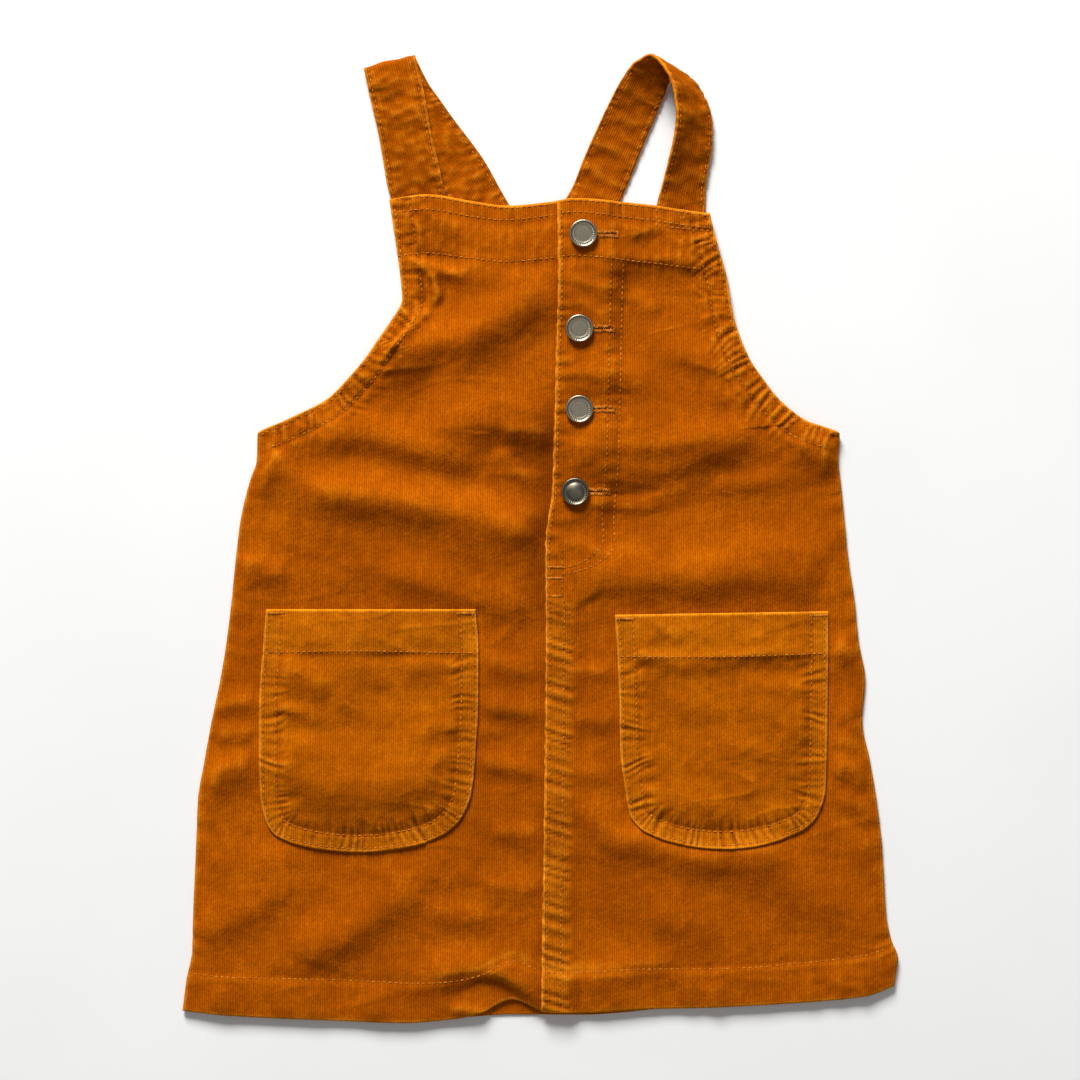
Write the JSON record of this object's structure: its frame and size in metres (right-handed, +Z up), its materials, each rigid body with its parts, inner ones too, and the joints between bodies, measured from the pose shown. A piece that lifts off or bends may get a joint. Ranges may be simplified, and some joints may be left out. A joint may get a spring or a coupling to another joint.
{
  "type": "pinafore dress",
  "caption": "Child's corduroy pinafore dress laid flat, front up: buttoned bib front, patch pockets and crossed shoulder straps.",
  "frame": {"origin": "on the surface that the dress lies on, under the middle of its outline", "axes": "+Z up from the surface, out of the front; +Y from the hem towards the straps; +X across, to the viewer's right of the front"},
  "size_m": [0.3857, 0.5217, 0.0192],
  "materials": {
    "corduroy": "rust-orange pinwale corduroy, worn golden at edges",
    "pocket_corduroy": "the same corduroy, a little lighter",
    "strap_corduroy": "the same corduroy, doubled, a little darker",
    "silver_metal": "dull silver with a bright rim",
    "pewter_metal": "dark pewter"
  },
  "bodies": {
    "root": {"back_panel": "corduroy", "front_left": "corduroy", "front_right": "corduroy", "pocket_left": "pocket_corduroy", "pocket_right": "pocket_corduroy", "strap_left": "strap_corduroy", "strap_right": "strap_corduroy", "button_1": "silver_metal", "button_2": "silver_metal", "button_3": "silver_metal", "button_4": "pewter_metal"}
  },
  "joints": []
}
